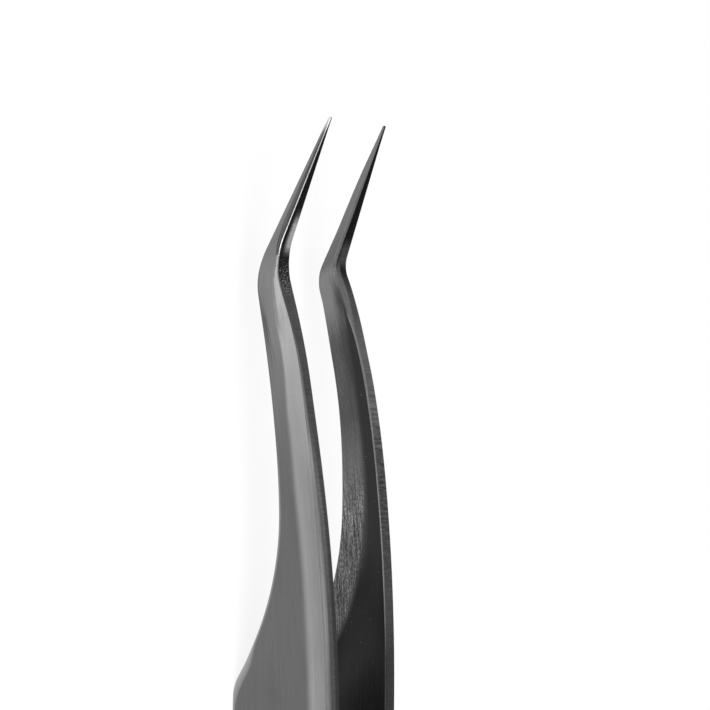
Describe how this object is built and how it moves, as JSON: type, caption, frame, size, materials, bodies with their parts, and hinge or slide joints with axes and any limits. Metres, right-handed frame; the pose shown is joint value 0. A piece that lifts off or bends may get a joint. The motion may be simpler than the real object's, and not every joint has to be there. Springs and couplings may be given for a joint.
{
  "type": "angled tweezers",
  "caption": "Fine-point angled tweezers: bowed spring arms joined at the tail, with slim ground tips bent to one side for placing small electronic parts.",
  "frame": {"origin": "middle of the length, on the plane between the arms, at the height of the handle's straight lower edges", "axes": "+X along the handle towards the tips, +Y towards the left arm, +Z the way the tips bend; the handle's lower edges lie on z = 0"},
  "size_m": [0.12, 0.0124, 0.0098],
  "materials": {
    "steel": "dark satin, brushed lengthwise, with ground facets"
  },
  "bodies": {
    "root": {"left_arm": "steel", "right_arm": "steel"}
  },
  "joints": []
}
